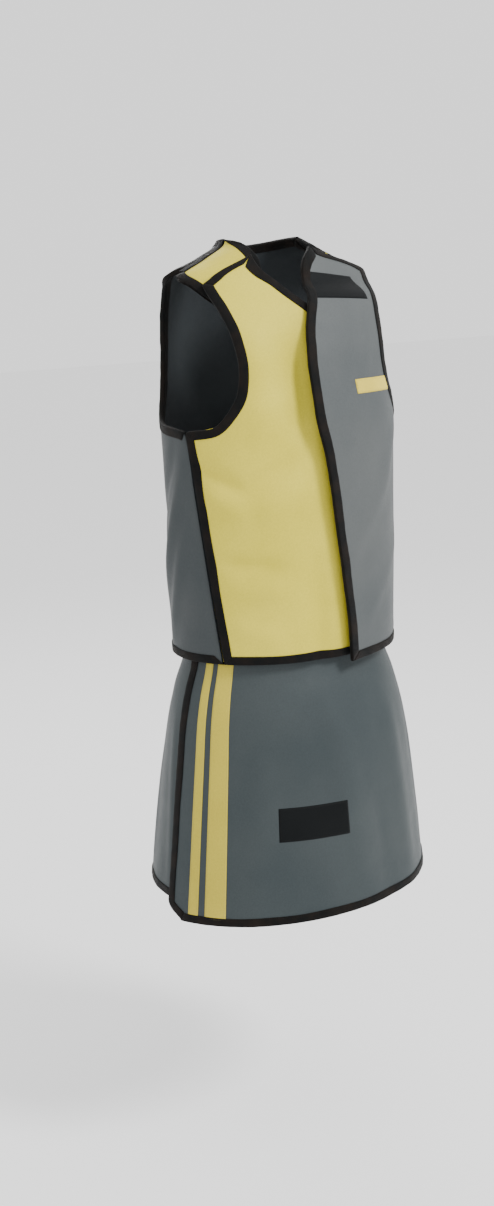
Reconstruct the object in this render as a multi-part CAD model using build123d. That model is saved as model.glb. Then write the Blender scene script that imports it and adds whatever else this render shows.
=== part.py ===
from build123d import *
from bisect import bisect_right
from functools import lru_cache
from math import acos, cos, degrees, dist, hypot, pi, radians, sin
import os

# Two-piece wrap-around X-ray protection apron: a front-opening vest and a wrap skirt.
# Millimetres, +Z up. The origin is the middle of the neck opening at shoulder level,
# where the vest rests on the wearer. The front faces -Y, the wearer's right is -X.
#
# Every panel lies on a body form made of level ellipses. A spot on a form is an angle
# (0 at the wearer's left, 90 at the back, -90 at the front) and a height.

# ---- driving dimensions ----------------------------------------------------------------
# Body forms of the lining face: height, half width, half depth, centre Y.
VEST_FORM = (
    (-640, 176, 137, -4),
    (-600, 177, 137, -4),
    (-360, 182, 133, -6),
    (-260, 185, 129, -4),
    (-170, 191, 117, 6),
    (-105, 193, 97, 16),
    (-55, 171, 75, 24),
    (-25, 107, 67, 26),
    (-5, 68, 61, 28),
    (16, 56, 53, 30),
)
SKIRT_FORM = (
    (-1050, 228, 189, -3),
    (-880, 208, 170, -3),
    (-750, 192, 152, -3),
    (-700, 185, 143, -3),
    (-660, 176, 133, -3),
    (-615, 161, 117, -3),
    (-560, 152, 110, -3),
    (-430, 138, 98, -3),
)

# Layers of a panel: distance of the inner face from the lining face, thickness.
LINING = (0.0, 0.9)
CORE = (1.2, 2.3)
SHELL = (3.8, 0.9)
SEWN_ON = (5.2, 0.6)            # patches, stripes and loop tape on an outer face
SEWN_IN = (-0.9, 0.6)           # hook tape on a lining face
PANEL_MARGIN = 3.2              # the layers stop this far inside the bound edge
BINDING_WIDTH = 12.0
BINDING_THICKNESS = 0.6
BINDING_INNER, BINDING_OUTER = -0.3, 5.0
MITRE_GAP = 0.3
SEAM_GAP = 0.3                  # each side of a seam that opens
MM_PER_DEGREE = 3.0             # evens out edges that run both round and up the form

SHOULDER_LIFT = 8.5             # the front panels ride over the shoulder flaps
WRAP_LIFT = 9.5                 # the left front rides over the right front
FLAP_LIFT = 9.0                 # the skirt's outer panel rides over the wrap panel

HINGE_X, HINGE_Y = 178.5, -60.0     # side seam axes of the vest fronts
VEST_HEM, ARMPIT = -603.0, -264.0
SKIRT_TOP, WRAP_HEM = -440.0, -972.0
YOKE_HEM, FLAP_TOP = -614.5, -616.0
FLAP_HEM_LEFT, FLAP_HEM_RIGHT = -970.0, -1006.0
WRAP_END = 295.0                # the wrap panel's inner end lies under the front

BELT_LOW, BELT_HIGH = -489.0, -451.0
BELT_START, BELT_END = -72.0, 252.0
BUCKLE_BACK, BUCKLE_DEPTH, BUCKLE_Z = -122.6, 10.4, -470.0

# ---- edges: X, Z seen from the front, from the hem upward ------------------------------------
ARMHOLE = (
    (-158, -256), (-140, -233), (-126, -203), (-121, -165), (-124, -130), (-131, -100), (-139, -62),
)
RIGHT_LEAD = (
    (92, -603), (92, -420), (92, -262), (84, -190), (60, -152), (30, -120), (3, -98),
    (-23, -76), (-44, -54), (-63, -26),
)
LEFT_LEAD = (
    (17, -603), (13, -545), (4, -478), (-8, -392), (-20, -303), (-31, -240), (-31, -185),
    (-24, -144), (-10, -109), (8, -87), (28, -73), (48, -51), (64, -26),
)
BACK_ARMHOLE = (
    (184, -262), (174, -252), (159, -228), (148, -190), (144, -150), (145, -100), (148, -62),
)
SHOULDER_RIDGE = ((148, -43), (128, -33), (104, -23), (84, -13), (68, -5))
NECK_DIP = 10.0
FLAP_ARM = ((124, -104), (134, -80), (140, -64), (147, -43))
FLAP_NECK = ((76, -88), (73, -58), (71, -30), (68, -6))
CHEST_PATCH = ((53, -214), (116, -214), (111, -194), (53, -194))
SHOULDER_LABEL = ((52, -84), (116, -104), (118, -82), (66, -58))
FRONT_TAPE = (-80.0, -65.5, -550.0, -240.0)     # angles and heights of the closure


# ---- curves and forms -----------------------------------------------------------------------
class Curve:
    """A smooth curve through rows (position, value, value, ...) that never overshoots them."""

    def __init__(self, rows):
        self.places = [row[0] for row in rows]
        self.values = [row[1:] for row in rows]
        self.slopes = [self.slope_at(i) for i in range(len(rows))]

    def secant(self, j):
        step = self.places[j + 1] - self.places[j]
        return [(b - a) / step for a, b in zip(self.values[j], self.values[j + 1])]

    def slope_at(self, i):
        if i == 0 or i == len(self.places) - 1:
            return self.secant(min(i, len(self.places) - 2))
        pairs = zip(self.secant(i - 1), self.secant(i))
        return [2 * a * b / (a + b) if a * b > 0 else 0.0 for a, b in pairs]

    def __call__(self, at):
        at = min(max(at, self.places[0]), self.places[-1])
        i = min(bisect_right(self.places, at), len(self.places) - 1) - 1
        step = self.places[i + 1] - self.places[i]
        t = (at - self.places[i]) / step
        rise = t * t * (3 - 2 * t)
        leave, arrive = t * (1 - t) ** 2 * step, t * t * (1 - t) * step
        ends = zip(self.values[i], self.values[i + 1], self.slopes[i], self.slopes[i + 1])
        return [a + rise * (b - a) + leave * m - arrive * n for a, b, m, n in ends]


def smooth(value, start, end):
    """0 before start, 1 after end, with soft ends."""
    t = min(1.0, max(0.0, (value - start) / (end - start)))
    return t * t * (3 - 2 * t)


class Form:
    """A body form, with a lift that carries a panel over whatever lies beneath it."""

    def __init__(self, sections, lift=None):
        self.section = Curve(sections)
        self.lift = lift or (lambda angle, z: 0.0)

    def lining(self, angle, z):
        half_width, half_depth, centre = self.section(z)
        turn = radians(angle)
        return half_width * cos(turn), centre + half_depth * sin(turn), z

    def normal(self, angle, z):
        ax, ay, az = (b - a for a, b in zip(self.lining(angle - 0.5, z), self.lining(angle + 0.5, z)))
        ux, uy, uz = (b - a for a, b in zip(self.lining(angle, z - 0.5), self.lining(angle, z + 0.5)))
        across = (ay * uz - az * uy, az * ux - ax * uz, ax * uy - ay * ux)
        size = hypot(*across)
        return tuple(c / size for c in across)

    def point(self, angle, z, distance=0.0):
        reach = distance + self.lift(angle, z)
        return tuple(p + n * reach for p, n in zip(self.lining(angle, z), self.normal(angle, z)))

    def front_angle(self, x, z):
        half_width = self.section(z)[0]
        return -degrees(acos(min(1.0, max(-1.0, x / half_width))))


def shoulder_lift(angle, z):
    return SHOULDER_LIFT * smooth(z, -215, -108)


def left_front_lift(angle, z):
    reach = smooth(-angle, 26, 58) * smooth(-z, 62, 92)
    return shoulder_lift(angle, z) + WRAP_LIFT * reach


def flap_lift(angle, z):
    return FLAP_LIFT * smooth(-angle, 8, 62)


VEST = Form(VEST_FORM)
RIGHT_FRONT = Form(VEST_FORM, shoulder_lift)
LEFT_FRONT = Form(VEST_FORM, left_front_lift)
SKIRT = Form(SKIRT_FORM)
SKIRT_FLAP = Form(SKIRT_FORM, flap_lift)


@lru_cache(None)
def seam_angle(z):
    """Where the vest's left side seam lies: the spot of the form nearest to its hinge axis."""
    low, high = -60.0, 10.0
    axis = (HINGE_X, HINGE_Y, z)
    for _ in range(30):
        third = (high - low) / 3
        if dist(VEST.lining(low + third, z), axis) < dist(VEST.lining(high - third, z), axis):
            high -= third
        else:
            low += third
    return (low + high) / 2


def degrees_per_mm(form, angle, z):
    return 1.0 / dist(form.point(angle + 0.5, z), form.point(angle - 0.5, z))


# ---- panels ------------------------------------------------------------------------------------
def between(value, low, high):
    return max(low, min(high, value))


def cell(share, steps):
    """The grid line before a share, and how far on towards the next line it lies."""
    i = min(int(share * steps + 1e-9), steps - 1)
    return i, share * steps - i


class Panel:
    """A four-sided piece of a form: two side edges, a hem and a top."""

    def __init__(self, form, grid, near, far, top=None):
        self.form, self.grid, self.near, self.far, self.top = form, grid, near, far, top
        self.width = lru_cache(None)(self.width)
        self.rate = lru_cache(None)(self.rate)
        self.crossing = lru_cache(None)(self.crossing)

    def spot(self, u, v):
        a, b = self.near(v), self.far(v)
        angle, z = a[0] + (b[0] - a[0]) * u, a[1] + (b[1] - a[1]) * u
        if self.top:
            share = smooth(v, 0.6, 1.0)
            c, d = self.near(1.0), self.far(1.0)
            goal = self.top(u)
            angle += share * (goal[0] - c[0] - (d[0] - c[0]) * u)
            z += share * (goal[1] - c[1] - (d[1] - c[1]) * u)
        return angle, z

    def crossing(self, i, j, distance):
        return self.form.point(*self.spot(i / self.grid[0], j / self.grid[1]), distance)

    def point(self, u, v, distance):
        """A point of the panel's flat facets, so that every layer and tape lies parallel."""
        i, s = cell(u, self.grid[0])
        j, t = cell(v, self.grid[1])
        start, end = self.crossing(i, j, distance), self.crossing(i + 1, j + 1, distance)
        if s >= t:
            side = self.crossing(i + 1, j, distance)
            return tuple(a + s * (b - a) + t * (c - b) for a, b, c in zip(start, side, end))
        side = self.crossing(i, j + 1, distance)
        return tuple(a + t * (b - a) + s * (c - b) for a, b, c in zip(start, side, end))

    def width(self, v):
        points = [self.point(i / 12, v, 0) for i in range(13)]
        return sum(dist(p, q) for p, q in zip(points, points[1:]))

    def rate(self, v):
        """Millimetres per unit of v near the hem or near the top."""
        step = 0.02 if v < 0.5 else -0.02
        lengths = [dist(self.point(u, v + step, 0), self.point(u, v, 0)) for u in (0.15, 0.5, 0.85)]
        return sum(lengths) / 3 / abs(step)

    def inside(self, s, t, margin_u, margin_v):
        """The spot at shares s, t of the panel, kept inside both margins."""
        v = between(t, margin_v / self.rate(0.0), 1 - margin_v / self.rate(1.0))
        side = margin_u / self.width(v)
        return between(s, side, 1 - side), v

    def shares(self, angle, z):
        """The shares of the panel at a spot of its form."""
        u, v, step = 0.5, 0.5, 0.001
        for _ in range(12):
            here = self.spot(u, v)
            (au, zu), (av, zv) = [
                [(p - q) / step for p, q in zip(self.spot(*near), here)] for near in ((u + step, v), (u, v + step))
            ]
            miss_angle, miss_z = angle - here[0], z - here[1]
            scale = au * zv - av * zu
            u += (miss_angle * zv - av * miss_z) / scale
            v += (au * miss_z - miss_angle * zu) / scale
            u, v = between(u, 0.0, 0.998), between(v, 0.0, 0.998)
        return u, v


def triangle(*corners):
    return Face(Wire([Edge.make_line(Vector(*p), Vector(*q)) for p, q in zip(corners, corners[1:] + corners[:1])]))


def quad(a, b, c, d):
    return [triangle(a, b, c), triangle(a, c, d)]


def skin(inner, outer):
    """A closed solid between two stacks of lines of points, faced with flat triangles."""
    faces = []
    steps = len(inner[0]) - 1
    for i in range(len(inner) - 1):
        for j in range(steps):
            for stack in (inner, outer):
                faces += quad(stack[i][j], stack[i][j + 1], stack[i + 1][j + 1], stack[i + 1][j])
        for j in (0, steps):
            faces += quad(inner[i][j], inner[i + 1][j], outer[i + 1][j], outer[i][j])
    for i in (0, -1):
        for j in range(steps):
            faces += quad(inner[i][j], inner[i][j + 1], outer[i][j + 1], outer[i][j])
    return Solid(Shell(faces))


def layer(panel, distance, thickness, margin):
    columns, rows = panel.grid
    stacks = []
    for reach in (distance, distance + thickness):
        lines = []
        for j in range(rows + 1):
            spots = [panel.inside(i / columns, j / rows, margin, margin) for i in range(columns + 1)]
            lines.append([panel.point(u, v, reach) for u, v in spots])
        stacks.append(lines)
    return skin(*stacks)


def binding_fold(grow):
    """The tape's fold, as (distance in from the edge, distance out from the lining face)."""
    middle = (BINDING_INNER + BINDING_OUTER) / 2
    half = (BINDING_OUTER - BINDING_INNER) / 2 + grow
    bend = [(PANEL_MARGIN - half * sin(pi * k / 3), middle - half * cos(pi * k / 3)) for k in range(4)]
    return [(BINDING_WIDTH, middle - half)] + bend + [(BINDING_WIDTH, middle + half)]


def binding_run(panel, side):
    """One edge's tape, mitred at both ends. side is hem, top, near or far."""
    steps = panel.grid[0] if side in ("hem", "top") else panel.grid[1]
    stacks = []
    for grow in (0.0, BINDING_THICKNESS):
        lines = []
        for margin, distance in binding_fold(grow):
            spots = [binding_spot(panel, side, i / steps, margin) for i in range(steps + 1)]
            lines.append([panel.point(u, v, distance) for u, v in spots])
        stacks.append(lines)
    return skin(*stacks)


def binding_spot(panel, side, share, margin):
    across = margin + MITRE_GAP
    if side in ("hem", "top"):
        v = margin / panel.rate(0.0) if side == "hem" else 1 - margin / panel.rate(1.0)
        ends = across / panel.width(v)
        return between(share, ends, 1 - ends), v
    v = panel.inside(0, share, 0, across)[1]
    u = margin / panel.width(v)
    return (u if side == "near" else 1 - u), v


def write(name, *solids):
    shape = solids[0] if len(solids) == 1 else Compound(children=list(solids))
    export_step(shape, f"parts/{name}.step")


def write_panel(name, panel):
    write(f"{name}_lining", layer(panel, *LINING, PANEL_MARGIN))
    write(f"{name}_lead_core", layer(panel, *CORE, PANEL_MARGIN))
    write(f"{name}_shell", layer(panel, *SHELL, PANEL_MARGIN))
    write(f"{name}_binding", *[binding_run(panel, side) for side in ("hem", "top", "near", "far")])


def strip(place, corners, distance, thickness, columns, rows):
    """A four-cornered strip; corners are spots: low near, low far, high far, high near."""
    low_near, low_far, high_far, high_near = corners

    def part_way(a, b, share):
        return a[0] + (b[0] - a[0]) * share, a[1] + (b[1] - a[1]) * share

    def line(v, reach):
        ends = part_way(low_near, high_near, v), part_way(low_far, high_far, v)
        return [place(*part_way(*ends, i / columns), reach) for i in range(columns + 1)]

    stacks = [[line(j / rows, reach) for j in range(rows + 1)] for reach in (distance, distance + thickness)]
    return skin(*stacks)


def patch(panel, corners, sewn, columns, rows):
    """A strip sewn flat to a panel's face."""
    def place(angle, z, reach):
        return panel.point(*panel.shares(angle, z), reach)
    return strip(place, corners, *sewn, columns, rows)


def box_corners(angle_from, angle_to, low, high):
    return (angle_from, low), (angle_to, low), (angle_to, high), (angle_from, high)


# ---- vest -----------------------------------------------------------------------------------------
def even(points):
    """A curve through spots, read by its share of the distance along them."""
    steps = [0.0]
    for a, b in zip(points, points[1:]):
        steps.append(steps[-1] + hypot(*(p - q for p, q in zip(a, b))))
    return Curve([(step / steps[-1], *point) for step, point in zip(steps, points)])


def seam_spots(gap):
    """The vest's left side seam, from the hem to the armpit, as X and Z."""
    spots = []
    for i in range(5):
        z = VEST_HEM + (ARMPIT - VEST_HEM) * i / 4
        angle = seam_angle(z) + gap * degrees_per_mm(VEST, seam_angle(z), z)
        spots.append((angle, z))
    return spots


def edge_of(spots, right=False, turn=None):
    """An edge through (angle, height) spots; right mirrors it to the wearer's right."""
    path = even([(angle * MM_PER_DEGREE, z) for angle, z in spots])

    def at(v):
        angle, z = path(v)
        angle /= MM_PER_DEGREE
        return (turn - angle if right else angle), z
    return at


def front_spots(form, points):
    return [(form.front_angle(x, z), z) for x, z in points]


def back_edge(right):
    armhole = [(max(0.5, -VEST.front_angle(x, z)), z) for x, z in BACK_ARMHOLE[1:] + SHOULDER_RIDGE]
    return edge_of(seam_spots(SEAM_GAP) + armhole, right, 180)


def back_top(u):
    return 0.5 + 179 * u, SHOULDER_RIDGE[-1][1] - NECK_DIP * sin(pi * u) ** 2


def front_side_edge(form, right):
    armhole = front_spots(form, [(-x, z) for x, z in ARMHOLE])
    return edge_of(seam_spots(-SEAM_GAP) + armhole, right, -180)


def flap_edge(points, side):
    spots = [(min(-0.5, VEST.front_angle(x, z)), z) for x, z in points]
    return edge_of(spots, side < 0, -180)


BACK_PANEL = Panel(VEST, (12, 9), back_edge(False), back_edge(True), back_top)
RIGHT_PANEL = Panel(RIGHT_FRONT, (6, 10), front_side_edge(RIGHT_FRONT, True),
                    edge_of(front_spots(RIGHT_FRONT, RIGHT_LEAD)))
LEFT_PANEL = Panel(LEFT_FRONT, (6, 10), edge_of(front_spots(LEFT_FRONT, LEFT_LEAD)),
                   front_side_edge(LEFT_FRONT, False))


def write_vest():
    write_panel("vest_back", BACK_PANEL)
    write_panel("right_front", RIGHT_PANEL)
    write_panel("left_front", LEFT_PANEL)
    for name, side in (("left", 1), ("right", -1)):
        flap = Panel(VEST, (3, 3), flap_edge(FLAP_NECK, side), flap_edge(FLAP_ARM, side))
        write_panel(f"{name}_shoulder_flap", flap)


def write_vest_trim():
    chest = front_spots(LEFT_FRONT, CHEST_PATCH)
    write("chest_patch", patch(LEFT_PANEL, chest, SEWN_ON, 12, 2))
    label = front_spots(LEFT_FRONT, SHOULDER_LABEL)
    write("shoulder_label", patch(LEFT_PANEL, label, SEWN_ON, 12, 6))
    tape = box_corners(*FRONT_TAPE)
    write("front_loop_tape", patch(RIGHT_PANEL, tape, SEWN_ON, 10, 20))
    write("front_hook_tape", patch(LEFT_PANEL, tape, SEWN_IN, 10, 20))


# ---- skirt ----------------------------------------------------------------------------------------
def straight_edge(angle, low, high):
    return lambda v: (angle, low + (high - low) * v)


def flap_lead(v):
    """The outer panel's leading edge, with a rounded corner at the hem."""
    angle = -175.0 + 7.0 * (1 - smooth(v, 0.0, 0.11)) ** 2
    return angle, FLAP_HEM_RIGHT + 6.0 * (1 - v) ** 20 + (FLAP_TOP - FLAP_HEM_RIGHT) * v


WRAP_PANEL = Panel(SKIRT, (20, 9), straight_edge(0.12, WRAP_HEM, SKIRT_TOP),
                   straight_edge(WRAP_END, WRAP_HEM, SKIRT_TOP))
YOKE_PANEL = Panel(SKIRT_FLAP, (12, 2), straight_edge(-175.0, YOKE_HEM, SKIRT_TOP),
                   straight_edge(-0.12, YOKE_HEM, SKIRT_TOP))
FLAP_PANEL = Panel(SKIRT_FLAP, (16, 5), flap_lead, straight_edge(-0.12, FLAP_HEM_LEFT, FLAP_TOP))


def write_skirt():
    write_panel("skirt_wrap", WRAP_PANEL)
    write_panel("skirt_front_yoke", YOKE_PANEL)
    write_panel("skirt_front_flap", FLAP_PANEL)
    write("narrow_stripe", patch(FLAP_PANEL, box_corners(-162.6, -157.6, -986, -630), SEWN_ON, 3, 16))
    write("wide_stripe", patch(FLAP_PANEL, box_corners(-154.4, -145.0, -980, -630), SEWN_ON, 5, 16))
    write("skirt_label", patch(FLAP_PANEL, box_corners(-123.0, -93.0, -866, -816), SEWN_ON, 16, 3))
    write("flap_hook_tape", patch(FLAP_PANEL, box_corners(-170.2, -163.5, -940, -640), SEWN_IN, 3, 16))
    write("wrap_loop_tape", patch(WRAP_PANEL, box_corners(188.0, 198.0, -940, -640), SEWN_ON, 8, 16))


# ---- waist belt and buckle ----------------------------------------------------------------------
def box_between(x0, x1, y0, y1, z0, z1):
    return Pos((x0 + x1) / 2, (y0 + y1) / 2, (z0 + z1) / 2) * Box(x1 - x0, y1 - y0, z1 - z0)


def write_belt():
    distance, thickness = 6.2, 2.0
    corners = box_corners(BELT_START, BELT_END, BELT_LOW, BELT_HIGH)
    write("waist_belt", strip(SKIRT_FLAP_RING.point, corners, distance, thickness, 36, 1))
    write_buckle()


def ring_lift(angle, z):
    turned = angle if angle < 180 else angle - 360
    return flap_lift(turned, z) if turned < 0 else FLAP_LIFT * smooth(turned, 172, 180)


SKIRT_FLAP_RING = Form(SKIRT_FORM, ring_lift)


def write_buckle():
    """Side-release buckle: a hollow socket and a tongue with two prongs that clicks into it."""
    y0, y1 = BUCKLE_BACK - BUCKLE_DEPTH, BUCKLE_BACK
    z = BUCKLE_Z
    socket = box_between(-2, 40, y0, y1, z - 22, z + 22)
    socket = fillet(socket.edges().filter_by(Axis.Y), 4)
    socket -= box_between(-3, 26, y0 + 2, y1 - 2, z - 18, z + 18)
    for side in (-1, 1):
        socket -= box_between(8, 20, y0 + 2, y1 - 2, z + side * 23 - 7, z + side * 23 + 7)
    socket -= box_between(30, 35, y0 - 1, y1 + 1, z - 19.5, z + 19.5)
    write("buckle_socket", socket)
    tongue = box_between(-34, -2.6, y0, y1, z - 22, z + 22)
    tongue = fillet(tongue.edges().filter_by(Axis.Y), 4)
    tongue -= box_between(-29, -24, y0 - 1, y1 + 1, z - 19.5, z + 19.5)
    for side in (-1, 1):
        prong = box_between(-6, 20, y0 + 2.4, y1 - 2.4, z + side * 13 - 2.2, z + side * 13 + 2.2)
        barb = box_between(9, 19, y0 + 2.4, y1 - 2.4, z + side * 15.5 - 2.0, z + side * 15.5 + 2.0)
        tongue += prong + barb
    tongue += box_between(-6, 18, y0 + 3.2, y1 - 3.2, z - 3, z + 3)
    write("buckle_tongue", tongue)


# ---- hanger loop ------------------------------------------------------------------------------------
def write_hanger_loop():
    """A webbing ring behind the neck, to hang the vest on a hook, with a foot sewn to the back."""
    radius, width, thickness = 16.0, 12.0, 2.0
    middle = VEST.point(90, SHOULDER_RIDGE[-1][1] - NECK_DIP - 22, 8.0)
    ring = Cylinder(radius, width) - Cylinder(radius - thickness, width + 2)
    ring = Pos(middle[0], middle[1] + 2.0 + width / 2, middle[2]) * Rot(90, 0, 0) * ring
    foot_top = middle[2] - radius - 0.6
    foot = strip(VEST.point, box_corners(87.0, 93.0, foot_top - 22, foot_top), 5.1, 3.0, 4, 4)
    write("hanger_loop", ring + foot)


if __name__ == "__main__":
    os.makedirs("parts", exist_ok=True)
    write_vest()
    write_vest_trim()
    write_skirt()
    write_belt()
    write_hanger_loop()
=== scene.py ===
from math import cos, pi, radians, sin
import bmesh
import bpy
import numpy as np
from mathutils import Matrix, Vector


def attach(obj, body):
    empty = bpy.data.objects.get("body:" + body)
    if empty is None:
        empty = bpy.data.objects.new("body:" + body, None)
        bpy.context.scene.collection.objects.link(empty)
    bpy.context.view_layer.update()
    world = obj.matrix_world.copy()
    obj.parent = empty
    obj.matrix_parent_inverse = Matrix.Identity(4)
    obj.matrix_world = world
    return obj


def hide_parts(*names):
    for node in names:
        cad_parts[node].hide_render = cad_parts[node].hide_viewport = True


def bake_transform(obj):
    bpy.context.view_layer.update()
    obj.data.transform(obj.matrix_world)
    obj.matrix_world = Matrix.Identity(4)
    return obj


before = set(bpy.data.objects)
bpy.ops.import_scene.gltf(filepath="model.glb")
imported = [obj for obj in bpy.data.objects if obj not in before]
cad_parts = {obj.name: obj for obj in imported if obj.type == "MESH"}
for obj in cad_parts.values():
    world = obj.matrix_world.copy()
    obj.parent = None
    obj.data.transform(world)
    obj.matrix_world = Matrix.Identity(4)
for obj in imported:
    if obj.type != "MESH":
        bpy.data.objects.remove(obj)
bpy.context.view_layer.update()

# Every size below is in millimetres in the record's frame, and meshes are scaled to metres.
# A spot on a body form is an angle (0 at the wearer's left, 90 at the back, -90 at the
# front) and a height.
MM = 0.001
VEST_FORM = (
    (-640, 176, 137, -4), (-600, 177, 137, -4), (-360, 182, 133, -6), (-260, 185, 129, -4),
    (-170, 191, 117, 6), (-105, 193, 97, 16), (-55, 171, 75, 24), (-25, 107, 67, 26),
    (-5, 68, 61, 28), (16, 56, 53, 30),
)
SKIRT_FORM = (
    (-1050, 228, 189, -3), (-880, 208, 170, -3), (-750, 192, 152, -3), (-700, 185, 143, -3),
    (-660, 176, 133, -3), (-615, 161, 117, -3), (-560, 152, 110, -3), (-430, 138, 98, -3),
)
VEST_HEM, ARMPIT = -603.0, -264.0
SKIRT_TOP, WRAP_HEM = -440.0, -972.0
FLAP_HEM_LEFT, FLAP_HEM_RIGHT = -970.0, -1006.0
WRAP_SEAM, WRAP_END = 0.12, 295.0       # where the skirt's panels meet, and the wrap's far edge
MM_PER_DEGREE = 3.0
SEAM_GAP = 0.3
SEAM_AT_ARMPIT, SEAM_AT_HEM = -14.0, -31.0   # the side seam slants forward as it goes down

LINING_FACE, SHELL_FACE = 0.4, 4.6      # middle of each fabric skin
SKIN = 0.8                              # fabric thickness
PATCH_FACE = 5.15
TAPE_WIDTH, TAPE_SKIN = 12.5, 0.7
FOLD_CENTRE, FOLD_HALF = 2.5, 2.95      # middle of the panel, half the bound thickness
INSET_FADE = 45.0                       # how fast the skin's inset fades away from its sides
BEND_START, BEND_REACH = 0.9, 1.5      # the tape's fold: where it leaves the faces, how far it bulges
PANEL_MARGIN = 2.6
SHOULDER_LIFT, WRAP_LIFT, FLAP_LIFT = 8.5, 9.5, 9.0

ARMHOLE = ((-158, -256), (-140, -233), (-126, -203), (-121, -165), (-124, -130), (-131, -100), (-139, -62))
LEFT_ARMHOLE = ARMHOLE[:-1] + ((-141, -52),)
RIGHT_LEAD = (
    (92, -603), (92, -420), (92, -262), (84, -190), (60, -152), (30, -120), (3, -98),
    (-23, -76), (-44, -54), (-60, -24),
)
LEFT_LEAD = (
    (18, -610), (13, -545), (4, -478), (-8, -392), (-20, -303), (-31, -240), (-31, -185),
    (-24, -144), (-10, -108), (2, -84), (8, -60), (11, -42), (18, -27), (32, -14),
)
BACK_ARMHOLE = ((174, -252), (159, -228), (148, -190), (144, -150), (145, -100), (148, -62))
SHOULDER_RIDGE = ((148, -43), (128, -33), (104, -22), (84, -11), (66, 4))
NECK_DIP = 10.0
BACK_SEAM_SHARE = 0.43          # how far up the back's side edges the side seams reach
FLAP_ARM = ((108, -100), (118, -82), (131, -66), (141, -54), (147, -43))
FLAP_NECK = ((70, -86), (66, -56), (64, -26), (66, 3))


# ---- curves and forms --------------------------------------------------------------------
class Curve:
    """A smooth curve through rows (position, value, value, ...) that never overshoots them."""

    def __init__(self, rows):
        rows = np.array(rows, float)
        self.at, self.values = rows[:, 0], rows[:, 1:]
        secants = np.diff(self.values, axis=0) / np.diff(self.at)[:, None]
        before, after = secants[:-1], secants[1:]
        agree = before * after > 0
        total = np.where(agree, before + after, 1.0)
        inner = np.where(agree, 2 * before * after / total, 0.0)
        self.slopes = np.vstack([secants[:1], inner, secants[-1:]])

    def __call__(self, at):
        at = np.clip(np.asarray(at, float), self.at[0], self.at[-1])
        i = np.clip(np.searchsorted(self.at, at, side="right") - 1, 0, len(self.at) - 2)
        step = (self.at[i + 1] - self.at[i])[..., None]
        t = (at - self.at[i])[..., None] / step
        ease = t * t * (3 - 2 * t)
        leave, arrive = t * (1 - t) ** 2 * step, t * t * (1 - t) * step
        a, b = self.values[i], self.values[i + 1]
        out = a + ease * (b - a) + leave * self.slopes[i] - arrive * self.slopes[i + 1]
        return [out[..., k] for k in range(out.shape[-1])]


def smooth(value, start, end):
    """0 before start, 1 after end, with soft ends."""
    t = np.clip((np.asarray(value, float) - start) / (end - start), 0, 1)
    return t * t * (3 - 2 * t)


def no_lift(angle, z):
    return 0.0 * angle


class Form:
    """A body form, with a lift that carries a panel over whatever lies beneath it."""

    def __init__(self, sections, lift=no_lift):
        self.section = Curve(sections)
        self.lift = lift

    def lining(self, angle, z):
        half_width, half_depth, centre = self.section(z)
        turn = np.radians(angle)
        return np.stack([half_width * np.cos(turn), centre + half_depth * np.sin(turn), z + 0 * turn], -1)

    def normal(self, angle, z):
        around = self.lining(angle + 0.5, z) - self.lining(angle - 0.5, z)
        upward = self.lining(angle, z + 0.5) - self.lining(angle, z - 0.5)
        across = np.cross(around, upward)
        return across / np.linalg.norm(across, axis=-1, keepdims=True)

    def point(self, angle, z, distance=0.0):
        angle, z = np.broadcast_arrays(np.asarray(angle, float), np.asarray(z, float))
        reach = (distance + self.lift(angle, z))[..., None]
        return self.lining(angle, z) + self.normal(angle, z) * reach

    def front_angle(self, x, z):
        half_width = self.section(z)[0]
        return -np.degrees(np.arccos(np.clip(x / half_width, -1, 1)))


# ---- how the cloth hangs: soft folds as ridges on a form -------------------------------------
def ridge(angle, z, start, end, width, height):
    """One soft fold from a start spot to an end spot, fading at both ends."""
    scale = 3.0
    ax, az = start[0] * scale, start[1]
    dx, dz = end[0] * scale - ax, end[1] - az
    length = np.hypot(dx, dz)
    px, pz = angle * scale - ax, z - az
    along = (px * dx + pz * dz) / length
    off = (px * dz - pz * dx) / length
    fade = smooth(along, -0.15 * length, 0.3 * length) * (1 - smooth(along, 0.7 * length, 1.15 * length))
    return height * fade * np.exp(-(off / width) ** 2)


def folds(angle, z, ridges):
    return sum(ridge(angle, z, *row) for row in ridges)


def ripple(angle, z, seed, size, height):
    """A slow uneven swell, from a few crossed waves."""
    total = 0.0
    for k in range(4):
        turn = seed * 1.7 + k * 2.4
        wave = (angle * 3.0 * cos(turn) + z * sin(turn)) / size * (1 + 0.37 * k)
        total = total + np.sin(wave * 2 * pi + seed * (k + 1)) / (1 + k)
    return height * total / 2


def shoulder_lift(angle, z):
    return SHOULDER_LIFT * smooth(z, -215, -108)


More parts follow.
